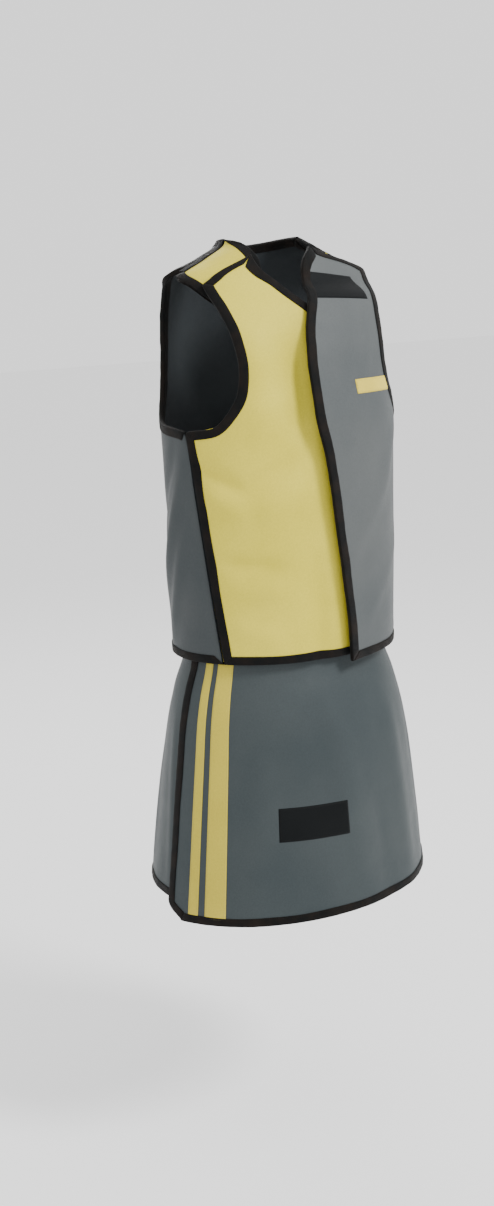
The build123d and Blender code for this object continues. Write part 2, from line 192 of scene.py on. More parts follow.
RIGHT_RIDGES = (
    ((-162, -306), (-134, -350), 13, -6.0), ((-137, -352), (-104, -296), 13, -5.5),
    ((-158, -346), (-132, -384), 17, 4.5), ((-128, -386), (-104, -340), 17, 4.2),
    ((-150, -452), (-116, -462), 12, -5.0), ((-150, -486), (-112, -496), 18, 4.0),
    ((-100, -130), (-103, -285), 24, -10.0), ((-120, -110), (-124, -270), 22, 3.5),
    ((-98, -440), (-97, -620), 20, -8.0), ((-146, -540), (-116, -575), 16, 3.0),
)
LEFT_RIDGES = (
    ((-62, -120), (-82, -300), 15, 2.6), ((-40, -250), (-66, -380), 14, 2.8),
    ((-52, -330), (-88, -470), 16, 2.6), ((-40, -430), (-76, -560), 15, 2.2),
)
BACK_RIDGES = (
    ((196, -285), (158, -520), 15, 6.0), ((186, -275), (150, -420), 13, -3.5),
    ((190, -400), (165, -590), 15, 4.5), ((-14, -285), (22, -520), 15, 5.0),
    ((60, -150), (100, -330), 24, 4.0), ((120, -170), (88, -360), 24, 3.6),
    ((90, -380), (60, -580), 22, 4.0), ((110, -420), (130, -600), 20, 3.6), ((90, -60), (92, -180), 20, 3.0),
)
WRAP_RIDGES = (
    ((95, -600), (84, -980), 18, 6.0), ((140, -640), (150, -980), 16, 5.0), ((35, -640), (30, -980), 18, 5.5),
    ((175, -700), (182, -980), 12, 3.0), ((115, -760), (120, -980), 14, 3.5),
    ((62, -740), (58, -980), 14, 3.0),
)
FLAP_RIDGES = (
    ((-96, -640), (-86, -980), 22, 4.0), ((-62, -650), (-60, -980), 20, 5.0),
    ((-128, -700), (-134, -1000), 20, 3.0),
    ((-30, -700), (-26, -980), 16, 4.0), ((-78, -820), (-74, -985), 12, -2.0),
)


def back_lift(angle, z):
    seam = smooth(np.minimum(angle + 20, 200 - angle), 0, 25)
    calm = smooth(-z, 60, 140)
    return seam * calm * (folds(angle, z, BACK_RIDGES) + ripple(angle, z, 1.0, 260, 2.0))


def right_front_lift(angle, z):
    calm = smooth(-angle, 89, 101) * smooth(-z, 70, 120)
    return shoulder_lift(angle, z) + calm * (folds(angle, z, RIGHT_RIDGES) + ripple(angle, z, 2.0, 210, 1.0))


def left_front_lift(angle, z):
    reach = smooth(-angle, 26, 58) * smooth(-z, 62, 92)
    lively = smooth(-angle, 24, 45) * smooth(-z, 110, 160)
    curl = 8.0 * smooth(-angle, 74, 100) * smooth(-z, 110, 200)
    wave = np.maximum(folds(angle, z, LEFT_RIDGES), -1.0) + 0.8 + ripple(angle, z, 3.0, 230, 0.8)
    return shoulder_lift(angle, z) + WRAP_LIFT * reach + lively * wave + curl


def wrap_lift(angle, z):
    shown = smooth(angle, -5, 20) * (1 - smooth(angle, 184, 200)) * smooth(-z, 630, 700)
    return shown * (folds(angle, z, WRAP_RIDGES) + ripple(angle, z, 4.0, 300, 1.6))


def flap_lift(angle, z):
    out = FLAP_LIFT * smooth(-angle, 8, 62)
    lively = smooth(-angle, 5, 25) * smooth(-z, 640, 720)
    wave = folds(angle, z, FLAP_RIDGES) + ripple(angle, z, 5.0, 320, 1.2) + 0.8
    return out + lively * np.maximum(wave, -1.2)


VEST = Form(VEST_FORM)
BACK = Form(VEST_FORM, back_lift)
RIGHT_FRONT = Form(VEST_FORM, right_front_lift)
LEFT_FRONT = Form(VEST_FORM, left_front_lift)
SKIRT = Form(SKIRT_FORM, wrap_lift)
FLAP = Form(SKIRT_FORM, flap_lift)


def seam_angle(z):
    return SEAM_AT_HEM + (SEAM_AT_ARMPIT - SEAM_AT_HEM) * (z - VEST_HEM) / (ARMPIT - VEST_HEM)


# ---- panels --------------------------------------------------------------------------------------
def even(spots):
    """A curve through spots, read by its share of the distance along them."""
    spots = np.array(spots, float)
    steps = np.concatenate([[0], np.cumsum(np.linalg.norm(np.diff(spots, axis=0), axis=1))])
    return Curve(np.column_stack([steps / steps[-1], spots]))


def edge_of(spots, right=False, turn=0):
    """An edge through (angle, height) spots; right mirrors it to the wearer's right."""
    path = even([(angle * MM_PER_DEGREE, z) for angle, z in spots])

    def at(v):
        angle, z = path(v)
        angle = angle / MM_PER_DEGREE
        return (turn - angle if right else angle), z
    return at


def seam_spots(gap):
    z = np.linspace(VEST_HEM, ARMPIT, 5)
    angle = seam_angle(z)
    width = np.linalg.norm(VEST.point(angle + 0.5, z) - VEST.point(angle - 0.5, z), axis=-1)
    return list(zip(angle + gap / width, z))


def front_spots(points):
    return [(float(VEST.front_angle(x, z)), z) for x, z in points]


def back_edge(right):
    armhole = [(max(0.1, -float(VEST.front_angle(x, z))), z) for x, z in BACK_ARMHOLE + SHOULDER_RIDGE]
    return edge_of(seam_spots(SEAM_GAP) + armhole, right, 180)


def back_top(u):
    return 0.1 + 179.8 * u, SHOULDER_RIDGE[-1][1] - NECK_DIP * np.sin(pi * u) ** 2


def front_side_edge(armhole, right):
    spots = front_spots([(-x, z) for x, z in armhole])
    return edge_of(seam_spots(-SEAM_GAP) + spots, right, -180)


def straight_edge(angle, low, high):
    return lambda v: (angle + 0 * v, low + (high - low) * v)


def flap_lead(v):
    """The outer panel's leading edge, with a rounded corner at the hem."""
    angle = -175.0 + 9.0 * (1 - smooth(v, 0.0, 0.07)) ** 2
    return angle, FLAP_HEM_RIGHT + 9.0 * (1 - v) ** 30 + (SKIRT_TOP - FLAP_HEM_RIGHT) * v


def shoulder_edge(points, side):
    spots = [(min(-0.1, float(VEST.front_angle(x, z))), z) for x, z in points]
    return edge_of(spots, side < 0, -180)


class Panel:
    """A four-sided piece of a form: two side edges, a hem and a top.

    Below bound_from its sides are sewn into a neighbour's binding and have none of their own."""

    def __init__(self, form, near, far, top=None, bound_from=0.0):
        self.form, self.near, self.far, self.top = form, near, far, top
        self.bound_from = bound_from
        share = np.linspace(0, 1, 81)
        grid = self.point(np.linspace(0, 1, 25)[:, None], share[None, :], 2.5)
        self.widths = Curve(np.column_stack([share, np.linalg.norm(np.diff(grid, axis=0), axis=-1).sum(0)]))
        rise = np.linalg.norm(np.diff(grid, axis=1), axis=-1).mean(0)
        self.low_rate, self.high_rate = rise[0] * 80, rise[-1] * 80
        self.height = rise.sum()

    def spot(self, u, v):
        u, v = np.broadcast_arrays(np.asarray(u, float), np.asarray(v, float))
        a, b = self.near(v), self.far(v)
        angle, z = a[0] + (b[0] - a[0]) * u, a[1] + (b[1] - a[1]) * u
        if self.top:
            one = np.ones(1)
            c, d = self.near(one), self.far(one)
            share = smooth(v, 0.6, 1.0)
            goal = self.top(u)
            angle = angle + share * (goal[0] - c[0] - (d[0] - c[0]) * u)
            z = z + share * (goal[1] - c[1] - (d[1] - c[1]) * u)
        return angle, z

    def point(self, u, v, distance):
        return self.form.point(*self.spot(u, v), distance)

    def inside(self, s, t, margin_u, margin_v):
        """The shares of the panel at s, t of what is left inside both margins."""
        low, high = margin_v / self.low_rate, margin_v / self.high_rate
        v = low + t * (1 - low - high)
        side = margin_u / self.widths(v)[0]
        return side + s * (1 - 2 * side), v

    def edge_line(self, side, share):
        """Angle and height along one edge."""
        if side in ("hem", "top"):
            return self.spot(share, 0.0 if side == "hem" else 1.0)
        return self.spot(0.0 if side == "near" else 1.0, share)

    def scales(self, angle, z):
        """Millimetres along the form for one degree and for one millimetre of height."""
        turn = self.form.lining(angle + 0.5, z) - self.form.lining(angle - 0.5, z)
        rise = self.form.lining(angle, z + 0.5) - self.form.lining(angle, z - 0.5)
        return np.linalg.norm(turn, axis=-1), np.linalg.norm(rise, axis=-1)

    def edge(self, side, share, margin, bound_from=0.0):
        """Angle and height along one edge, a margin square to it inside, mitred at the ends."""
        fine = np.linspace(bound_from, 1, 400)
        angle, z = self.edge_line(side, fine)
        across, up = self.scales(angle, z)
        run = np.stack([np.gradient(angle) * across, np.gradient(z) * up])
        steps = np.linalg.norm(run, axis=0)
        length = np.concatenate([[0], np.cumsum((steps[1:] + steps[:-1]) / 2)])
        run = run / steps
        turned = 1 if side in ("hem", "far") else -1
        start, end = self.mitre(side, 0), self.mitre(side, 1)
        low = 0.0 if bound_from else margin * start
        at = low + share * (length[-1] - low - margin * end)
        place = [np.interp(at, length, line) for line in (angle, z, across, up, run[0], run[1])]
        angle, z, across, up, run_a, run_z = place
        return angle - turned * run_z * margin / across, z + turned * run_a * margin / up

    def inset(self, side, v, margin):
        """How far angle and height move to lie a margin square inside a side edge."""
        angle, z = self.edge_line(side, v)
        across, up = self.scales(angle, z)
        before = self.edge_line(side, np.clip(v - 0.01, 0, 1))
        after = self.edge_line(side, np.clip(v + 0.01, 0, 1))
        run = np.stack([(after[0] - before[0]) * across, (after[1] - before[1]) * up])
        run = run / np.linalg.norm(run, axis=0) * (margin if side == "far" else -margin)
        return -run[1] / across, run[0] / up

    def mitre(self, side, end):
        """How far a mitre runs along an edge for each millimetre of margin."""
        other = ("near", "far")[end] if side in ("hem", "top") else ("hem", "top")[end]
        other_end = ("hem", "top").index(side) if side in ("hem", "top") else ("near", "far").index(side)
        arms = []
        for name, at in ((side, end), (other, other_end)):
            share = np.array([at, at + (0.02 if at == 0 else -0.02)], float)
            angle, z = self.edge_line(name, share)
            across, up = self.scales(angle, z)
            arm = np.array([(angle[1] - angle[0]) * across[0], (z[1] - z[0]) * up[0]])
            arms.append(arm / np.linalg.norm(arm))
        corner = np.arccos(np.clip(arms[0] @ arms[1], -0.95, 0.95))
        return float(1 / np.tan(corner / 2))


# ---- meshes ----------------------------------------------------------------------------------------
def mesh_object(name, points, faces, uv=None):
    mesh = bpy.data.meshes.new(name)
    mesh.from_pydata((np.asarray(points).reshape(-1, 3) * MM).tolist(), [], faces)
    if uv is not None:
        layer = mesh.uv_layers.new(name="cloth")
        loops = np.array([loop.vertex_index for loop in mesh.loops])
        layer.data.foreach_set("uv", (np.asarray(uv).reshape(-1, 2) * MM)[loops].ravel())
    mesh.shade_smooth()
    obj = bpy.data.objects.new(name, mesh)
    bpy.context.scene.collection.objects.link(obj)
    return obj


def grid_faces(columns, rows, first=0, flip=False):
    i, j = np.meshgrid(np.arange(columns - 1), np.arange(rows - 1), indexing="ij")
    a = (i * rows + j).ravel() + first
    quads = np.column_stack([a, a + rows, a + rows + 1, a + 1])
    return (quads[:, ::-1] if flip else quads).tolist()


def rim_faces(columns, rows, shift):
    """Quads that join the borders of two equal grids, the second one shift vertices later."""
    border = [i * rows for i in range(columns)]
    border += [(columns - 1) * rows + j for j in range(1, rows)]
    border += [i * rows + rows - 1 for i in range(columns - 2, -1, -1)]
    border += [j for j in range(rows - 2, 0, -1)]
    return [[a, b, b + shift, a + shift] for a, b in zip(border, border[1:] + border[:1])]


def slab(name, outer, inner, uv):
    """A closed thin piece between two equal grids of points."""
    columns, rows = outer.shape[:2]
    count = columns * rows
    faces = grid_faces(columns, rows) + grid_faces(columns, rows, count, True)
    faces += [face[::-1] for face in rim_faces(columns, rows, count)]
    points = np.concatenate([outer.reshape(-1, 3), inner.reshape(-1, 3)])
    both = np.concatenate([uv.reshape(-1, 2), uv.reshape(-1, 2)])
    return mesh_object(name, points, faces, both)


def flat_shares(columns, rows, width, height):
    s, t = np.meshgrid(np.linspace(0, 1, columns), np.linspace(0, 1, rows), indexing="ij")
    return s, t, np.stack([s * width, t * height], -1)


def fabric_sheet(name, panel, distance, step=6.0):
    """One fabric skin of a panel."""
    width, height = float(np.max(panel.widths(np.linspace(0, 1, 9))[0])), float(panel.height)
    columns, rows = int(width / step) + 2, int(height / step) + 2
    s, t, uv = flat_shares(columns, rows, width, height)
    u, v = panel.inside(s, t, 0.0, PANEL_MARGIN)
    angle, z = panel.spot(u, v)
    for side, far in (("near", s), ("far", 1 - s)):
        shift_angle, shift_z = panel.inset(side, v, PANEL_MARGIN)
        fade = np.exp(-far * width / INSET_FADE)
        angle, z = angle + shift_angle * fade, z + shift_z * fade
    outer = panel.form.point(angle, z, distance + SKIN / 2)
    inner = panel.form.point(angle, z, distance - SKIN / 2)
    obj = slab(name, outer, inner, uv)
    area = grid_area(outer) * MM * MM
    return obj


def grid_area(points):
    across, up = np.diff(points, axis=0)[:, :-1], np.diff(points, axis=1)[:-1]
    return float(np.linalg.norm(np.cross(across, up), axis=-1).sum())


def tape_fold(grow):
    """The binding's fold: distance in from the edge, distance out from the lining face."""
    half = FOLD_HALF + grow
    turn = np.linspace(0, pi, 9)
    legs = np.array([TAPE_WIDTH, TAPE_WIDTH - 1.2, 8.0, 5.0])
    swell = np.array([-0.25, 0.0, 0.12, 0.1]) * (1 if grow else 0)
    inner = np.column_stack([legs, FOLD_CENTRE - half - swell])
    bend = np.column_stack([BEND_START - BEND_REACH * np.sin(turn), FOLD_CENTRE - half * np.cos(turn)])
    outer = np.column_stack([legs, FOLD_CENTRE + half + swell])[::-1]
    return np.concatenate([inner, bend, outer])


def run_length(panel, side, bound_from=0.0):
    angle, z = panel.edge(side, np.linspace(0, 1, 80), 0.0, bound_from)
    return float(np.linalg.norm(np.diff(panel.form.point(angle, z, 5), axis=0), axis=-1).sum())


def binding(name, panel):
    """The edge binding: folded tape round the edges, mitred at the corners."""
    points, faces, uvs, first = [], [], [], 0
    for side in ("hem", "top", "near", "far"):
        bound_from = panel.bound_from if side in ("near", "far") else 0.0
        length = run_length(panel, side, bound_from)
        stations = int(length / 5.0) + 3
        share = np.linspace(0, 1, stations)
        stacks = []
        for grow in (TAPE_SKIN, 0.0):
            lines = []
            for margin, distance in tape_fold(grow):
                pucker = 0.16 * np.sin(share * length / 5.3) + 0.12 * np.sin(share * length / 2.9 + margin)
                wander = 0.35 * np.sin(share * length / 17) if margin > 9 else 0.0
                angle, z = panel.edge(side, share, margin + wander, bound_from)
                outward = distance + (pucker if grow else 0) * np.sign(distance - FOLD_CENTRE)
                lines.append(panel.form.point(angle, z, outward))
            stacks.append(np.stack(lines))
        columns, rows = stacks[0].shape[:2]
        count = columns * rows
        faces += grid_faces(columns, rows, first) + grid_faces(columns, rows, first + count, True)
        faces += [[first + k for k in face] for face in rim_faces(columns, rows, count)]
        points += [stack.reshape(-1, 3) for stack in stacks]
        across = np.arange(columns) * 2.0
        uv = np.stack(np.meshgrid(across, share * length, indexing="ij"), -1).reshape(-1, 2)
        uvs += [uv, uv]
        first += 2 * count
    obj = mesh_object(name, np.concatenate(points), faces, np.concatenate(uvs))
    fix_normals(obj)
    return obj


def fix_normals(obj):
    work = bmesh.new()
    work.from_mesh(obj.data)
    bmesh.ops.recalc_face_normals(work, faces=work.faces)
    work.to_mesh(obj.data)
    work.free()


STITCH_PITCH, STITCH_LENGTH, STITCH_RADIUS = 3.4, 2.5, 0.28


def stitch_mesh(name, tracks, normals):
    """Rows of raised stitches: a slim six-sided bead for each stitch along the tracks."""
    points, faces = [], []
    for track, normal in zip(tracks, normals):
        steps = np.linalg.norm(np.diff(track, axis=0), axis=-1)
        along = np.concatenate([[0], np.cumsum(steps)])
        for middle in np.arange(STITCH_PITCH, along[-1] - STITCH_PITCH, STITCH_PITCH):
            ends = middle - STITCH_LENGTH / 2, middle, middle + STITCH_LENGTH / 2
            a, m, b = (np.array([np.interp(e, along, track[:, k]) for k in range(3)]) for e in ends)
            up = np.array([np.interp(middle, along, normal[:, k]) for k in range(3)])
            side = np.cross(b - a, up)
            side /= np.linalg.norm(side)
            first = len(points)
            lift = up * STITCH_RADIUS
            wide = side * STITCH_RADIUS
            points += [a - lift, m + lift, m - lift, m + wide, m - wide, b - lift]
            for end in (0, 5):
                ring = (1, 3, 2, 4)
                for k in range(4):
                    tri = [first + end, first + ring[k], first + ring[(k + 1) % 4]]
                    faces.append(tri if end else tri[::-1])
    return mesh_object(name, points, faces)


def binding_stitches(name, panel, margin=10.6):
    tracks, normals = [], []
    for side in ("hem", "top", "near", "far"):
        bound_from = panel.bound_from if side in ("near", "far") else 0.0
        spots = panel.edge(side, np.linspace(0, 1, 160), margin, bound_from)
        outward = panel.form.normal(*spots)
        tracks.append(panel.form.point(*spots, FOLD_CENTRE + FOLD_HALF + TAPE_SKIN + 0.15))
        normals.append(outward)
    return stitch_mesh(name, tracks, normals)


def patch(name, form, corners, distance, thickness=0.8, step=3.0, soften=0.5):
    """A four-cornered sewn-on piece; corners are spots: low near, low far, high far, high near."""
    spots = np.array(corners, float)
    ends = form.point(spots[:, 0], spots[:, 1], distance)
    width, height = np.linalg.norm(ends[1] - ends[0]), np.linalg.norm(ends[3] - ends[0])
    columns, rows = max(4, int(width / step) + 2), max(4, int(height / step) + 2)
    s, t, uv = flat_shares(columns, rows, width, height)
    s2, t2 = s[..., None], t[..., None]
    spot = (spots[0] * (1 - s2) + spots[1] * s2) * (1 - t2) + (spots[3] * (1 - s2) + spots[2] * s2) * t2
    rim = np.minimum.reduce([s * width, (1 - s) * width, t * height, (1 - t) * height])
    crown = soften * (1 - np.exp(-rim / 1.5))
    outer = form.point(spot[..., 0], spot[..., 1], distance + thickness - soften + crown)
    inner = form.point(spot[..., 0], spot[..., 1], distance)
    return slab(name, outer, inner, uv)


def patch_stitches(name, form, corners, distance, inset=2.5):
    spots = np.array(corners, float)
    ends = form.point(spots[:, 0], spots[:, 1], distance)
    width, height = np.linalg.norm(ends[1] - ends[0]), np.linalg.norm(ends[3] - ends[0])
    du, dv = inset / width, inset / height
    loop = ((du, dv), (1 - du, dv), (1 - du, 1 - dv), (du, 1 - dv), (du, dv))
    tracks, normals = [], []
    for (s0, t0), (s1, t1) in zip(loop, loop[1:]):
        s, t = np.linspace(s0, s1, 40)[:, None], np.linspace(t0, t1, 40)[:, None]
        spot = (spots[0] * (1 - s) + spots[1] * s) * (1 - t) + (spots[3] * (1 - s) + spots[2] * s) * t
        tracks.append(form.point(spot[:, 0], spot[:, 1], distance))
        normals.append(form.normal(spot[:, 0], spot[:, 1]))
    return stitch_mesh(name, tracks, normals)


# ---- materials ---------------------------------------------------------------------------------------
def srgb(r, g, b):
    linear = [((c / 255 + 0.055) / 1.055) ** 2.4 if c > 10 else c / 255 / 12.92 for c in (r, g, b)]
    return tuple(linear) + (1.0,)


class Nodes:
    """Short helpers for building one material."""

    def __init__(self, name):
        self.material = bpy.data.materials.new(name)
        self.material.use_nodes = True
        self.tree = self.material.node_tree
        self.shader = self.tree.nodes["Principled BSDF"]

    def add(self, kind, **values):
        node = self.tree.nodes.new(kind)
        for key, value in values.items():
            setattr(node, key, value)
        return node

    def link(self, a, b):
        self.tree.links.new(a, b)

    def feed(self, socket, value):
        """Link a node's output to a socket, or give the socket a plain value."""
        if hasattr(value, "links"):
            self.link(value, socket)
        else:
            socket.default_value = value

    def math(self, operation, a, b=None):
        node = self.add("ShaderNodeMath", operation=operation)
        for socket, value in zip(node.inputs, (a, b)):
            if value is not None:
                self.feed(socket, value)
        return node.outputs[0]

    def noise(self, vector, scale, detail=4.0, roughness=0.55):
        node = self.add("ShaderNodeTexNoise")
        node.inputs["Scale"].default_value = scale
        node.inputs["Detail"].default_value = detail
        node.inputs["Roughness"].default_value = roughness
        self.link(vector, node.inputs["Vector"])
        return node.outputs["Fac"]

    def ramp(self, factor, stops):
        node = self.add("ShaderNodeValToRGB")
        ramp = node.color_ramp
        ramp.elements[0].position, ramp.elements[0].color = stops[0]
        ramp.elements[1].position, ramp.elements[1].color = stops[-1]
        for position, colour in stops[1:-1]:
            ramp.elements.new(position).color = colour
        self.link(factor, node.inputs["Fac"])
        return node.outputs["Color"]

    def mix(self, factor, a, b, blend="MIX"):
        node = self.add("ShaderNodeMix", data_type="RGBA", blend_type=blend)
        self.feed(node.inputs["Factor"], factor)
        for socket, value in zip([s for s in node.inputs if s.type == "RGBA"], (a, b)):
            self.feed(socket, value)
        return [s for s in node.outputs if s.type == "RGBA"][0]

    def bump(self, height, strength, distance, normal=None):
        node = self.add("ShaderNodeBump")
        node.inputs["Strength"].default_value = strength
        node.inputs["Distance"].default_value = distance
        self.link(height, node.inputs["Height"])
        if normal is not None:
            self.link(normal, node.inputs["Normal"])
        return node.outputs["Normal"]


def weave(nodes, vector, pitch):
    """Over-and-under threads: two crossed waves, one thread every pitch metres."""
    split = nodes.add("ShaderNodeSeparateXYZ")
    nodes.link(vector, split.inputs[0])
    waves = []
    for socket in split.outputs[:2]:
        turns = nodes.math("MULTIPLY", socket, 2 * pi / pitch)
        waves.append(nodes.math("SINE", turns))
    across = nodes.math("MULTIPLY", waves[0], waves[1])
    return nodes.math("ADD", nodes.math("MULTIPLY", across, 0.5), 0.5)


def cloth(name, light, dark, roughness, pitch=0.0011, weave_strength=0.25, sheen=0.03, crease=0.35,
          specular=0.16):
    """Coated woven cloth: broad shade changes, fine thread relief and soft small creases."""
    nodes = Nodes(name)
    place = nodes.add("ShaderNodeTexCoord")
    uv, world = place.outputs["UV"], place.outputs["Object"]
    broad = nodes.noise(world, 5.0, 3.0)
    fine = nodes.noise(world, 420.0, 2.0)
    tint = nodes.ramp(broad, ((0.32, dark), (0.68, light)))
    speck = nodes.ramp(fine, ((0.3, (0.93, 0.93, 0.93, 1)), (0.7, (1.05, 1.05, 1.05, 1))))
    colour = nodes.mix(1.0, tint, speck, "MULTIPLY")
    nodes.link(colour, nodes.shader.inputs["Base Color"])
    scuffs = nodes.noise(world, 28.0, 5.0)
    rough = nodes.add("ShaderNodeMapRange")
    rough.inputs["To Min"].default_value = roughness - 0.07
    rough.inputs["To Max"].default_value = roughness + 0.09
    nodes.link(scuffs, rough.inputs["Value"])
    nodes.link(rough.outputs[0], nodes.shader.inputs["Roughness"])
    creases = nodes.noise(world, 14.0, 4.0, 0.5)
    normal = nodes.bump(creases, crease, 0.006)
    normal = nodes.bump(weave(nodes, uv, pitch), weave_strength, 0.0003, normal)
    nodes.link(normal, nodes.shader.inputs["Normal"])
    nodes.shader.inputs["Sheen Weight"].default_value = sheen
    nodes.shader.inputs["Sheen Roughness"].default_value = 0.45
    nodes.shader.inputs["Specular IOR Level"].default_value = specular
    return nodes.material


def ribbed_tape(name, light, dark, pitch=0.0014):
    """Grosgrain tape: fine ribs across its length, with a painted brownish highlight in soft random patches.
    """
    nodes = Nodes(name)
    place = nodes.add("ShaderNodeTexCoord")
    split = nodes.add("ShaderNodeSeparateXYZ")
    nodes.link(place.outputs["UV"], split.inputs[0])
    ribs = nodes.math("SINE", nodes.math("MULTIPLY", split.outputs[1], 2 * pi / pitch))
    # painted highlight: this noise mixes the lighter brownish colour in as patches of highlight
    painted_highlight_noise = nodes.noise(place.outputs["Object"], 34.0, 5.0, 0.6)
    colour = nodes.ramp(painted_highlight_noise, ((0.40, dark), (0.72, light)))
    nodes.link(colour, nodes.shader.inputs["Base Color"])
    normal = nodes.bump(nodes.noise(place.outputs["Object"], 90.0, 3.0), 0.35, 0.0012)
    normal = nodes.bump(ribs, 0.45, 0.0003, normal)
    nodes.link(normal, nodes.shader.inputs["Normal"])
    nodes.shader.inputs["Roughness"].default_value = 0.62
    nodes.shader.inputs["Specular IOR Level"].default_value = 0.07
    nodes.shader.inputs["Sheen Weight"].default_value = 0.03
    return nodes.material


def napped(name, light, dark, scale):
    """Hook-and-loop tape: a dense pile of fibres or hooks."""
    nodes = Nodes(name)
    place = nodes.add("ShaderNodeTexCoord")
    cells = nodes.add("ShaderNodeTexVoronoi")
    cells.inputs["Scale"].default_value = scale
    nodes.link(place.outputs["Object"], cells.inputs["Vector"])
    colour = nodes.ramp(cells.outputs["Distance"], ((0.0, light), (0.8, dark)))
    nodes.link(colour, nodes.shader.inputs["Base Color"])
    nodes.link(nodes.bump(cells.outputs["Distance"], 0.8, 0.0008), nodes.shader.inputs["Normal"])
    nodes.shader.inputs["Roughness"].default_value = 0.9
    nodes.shader.inputs["Sheen Weight"].default_value = 0.3
    return nodes.material


def moulded(name, colour):
    """Moulded buckle plastic with a faint spark-eroded grain."""
    nodes = Nodes(name)
    place = nodes.add("ShaderNodeTexCoord")
    grain = nodes.noise(place.outputs["Object"], 900.0, 2.0)
    tone = nodes.ramp(nodes.noise(place.outputs["Object"], 30.0), ((0.3, colour), (0.8, srgb(34, 34, 36))))
    nodes.link(tone, nodes.shader.inputs["Base Color"])
    nodes.link(nodes.bump(grain, 0.25, 0.0003), nodes.shader.inputs["Normal"])
    nodes.shader.inputs["Roughness"].default_value = 0.42
    return nodes.material


KHAKI = cloth("khaki_cloth", srgb(203, 189, 64), srgb(187, 174, 50), 0.52, sheen=0.03)
GREY = cloth("grey_cloth", srgb(80, 83, 83), srgb(70, 74, 75), 0.50, sheen=0.03)
SLATE = cloth("slate_cloth", srgb(60, 64, 65), srgb(51, 56, 58), 0.50, sheen=0.03)
SKIRT_SLATE = cloth("skirt_slate_cloth", srgb(57, 63, 64), srgb(48, 55, 57), 0.50, sheen=0.03)
STRIPE = cloth("stripe_cloth", srgb(186, 170, 62), srgb(170, 155, 52), 0.52, crease=0.1)
CHEST = cloth("chest_patch_cloth", srgb(224, 205, 92), srgb(196, 176, 66), 0.6, pitch=0.0030,
              weave_strength=0.9)
INSIDE = cloth("lining_cloth", srgb(46, 50, 52), srgb(36, 40, 43), 0.62, pitch=0.0009, crease=0.5)
LABEL = cloth("label_cloth", srgb(17, 19, 20), srgb(10, 12, 13), 0.55, pitch=0.0008, crease=0.1,
              specular=0.06)
# the binding's lighter brown colour is a painted highlight
TAPE = ribbed_tape("binding_tape", srgb(24, 18, 14), srgb(8, 9, 9))
THREAD = ribbed_tape("thread", srgb(30, 29, 28), srgb(18, 18, 19), 0.0005)
PALE_THREAD = ribbed_tape("pale_thread", srgb(186, 176, 120), srgb(160, 150, 96), 0.0005)
WEBBING = ribbed_tape("webbing", srgb(40, 41, 43), srgb(22, 23, 24), 0.0022)
PILE = napped("hook_and_loop", srgb(52, 53, 54), srgb(18, 18, 19), 900.0)
PLASTIC = moulded("buckle_plastic", srgb(22, 22, 24))


def paint(obj, material):
    obj.data.materials.clear()
    obj.data.materials.append(material)
    return obj


# ---- the apron -----------------------------------------------------------------------------------------
HANG_START, HANG_END = (0, 0, -0.600), (0, 0, -0.700)
SEAM_START, SEAM_TURN = (0.1825, -0.0315, -0.264), (-0.0343, -0.0343, 0.0068)


def place(obj, body):
    """Ride on a body; the fronts and the skirt's front are only baked in place, with no bend set up."""
    if body == "skirt_front":
        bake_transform(obj)
        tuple(HANG_START)
        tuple(HANG_END)
    elif body in ("left_front", "right_front"):
        side = Vector((1 if body == "left_front" else -1, 1, 1))
        start = Vector(SEAM_START) * side
        start + Vector(SEAM_TURN) * side
        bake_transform(obj)
    else:
        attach(obj, body)
    return obj


def build_panel(name, panel, body, colour, nodes, trim_nodes):
    """A bound panel: shell, lining, binding and the stitching that holds the binding."""
    shell = paint(fabric_sheet(f"{name}_shell_cloth", panel, SHELL_FACE), colour)
    lining = paint(fabric_sheet(f"{name}_lining_cloth", panel, LINING_FACE, 9.0), INSIDE)
    tape = paint(binding(f"{name}_binding_tape", panel), TAPE)
    thread = paint(binding_stitches(f"{name}_binding_stitches", panel), THREAD)
    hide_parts(*[f"{n}_shell" for n in nodes], *[f"{n}_lead_core" for n in nodes])
    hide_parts(*[f"{n}_lining" for n in nodes])
    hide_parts(*[f"{n}_binding" for n in nodes])
    for obj, slot in ((shell, trim_nodes), (lining, "lining"), (tape, "binding"), (thread, "binding")):
        place(obj, body)


def build_vest():
    back = Panel(BACK, back_edge(False), back_edge(True), back_top, bound_from=BACK_SEAM_SHARE)
    right = Panel(RIGHT_FRONT, front_side_edge(ARMHOLE, True), edge_of(front_spots(RIGHT_LEAD)))
    left = Panel(LEFT_FRONT, edge_of(front_spots(LEFT_LEAD)), front_side_edge(LEFT_ARMHOLE, False))
    build_panel("vest_back", back, "vest_back", SLATE, ["vest_back"], "slate_shell")
    build_panel("right_front", right, "right_front", KHAKI, ["right_front"], "khaki_shell")
    build_panel("left_front", left, "left_front", GREY, ["left_front"], "grey_shell")
    for name, side in (("left", 1), ("right", -1)):
        flap = Panel(VEST, shoulder_edge(FLAP_NECK, side), shoulder_edge(FLAP_ARM, side))
        piece = f"{name}_shoulder_flap"
        build_panel(piece, flap, "vest_back", KHAKI, [piece], "khaki_shell")


FRONT_TAPE = -80.0, -65.5, -550.0, -240.0
HOOK_FACE = -0.9              # hook tapes are sewn under the lining
PATCH_THREAD_LIFT = 0.85      # a patch's stitches stand on its face


def add_patch(name, form, corners, body, material, node, slot, distance=PATCH_FACE, thread=None, **options):
    obj = paint(patch(name, form, corners, distance, **options), material)
    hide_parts(node)
    place(obj, body)
    if thread:
        seam = paint(patch_stitches(f"{name}_stitches", form, corners, distance + PATCH_THREAD_LIFT), thread)
        place(seam, body)


def angle_box(near, far, low, high):
    return [(near, low), (far, low), (far, high), (near, high)]


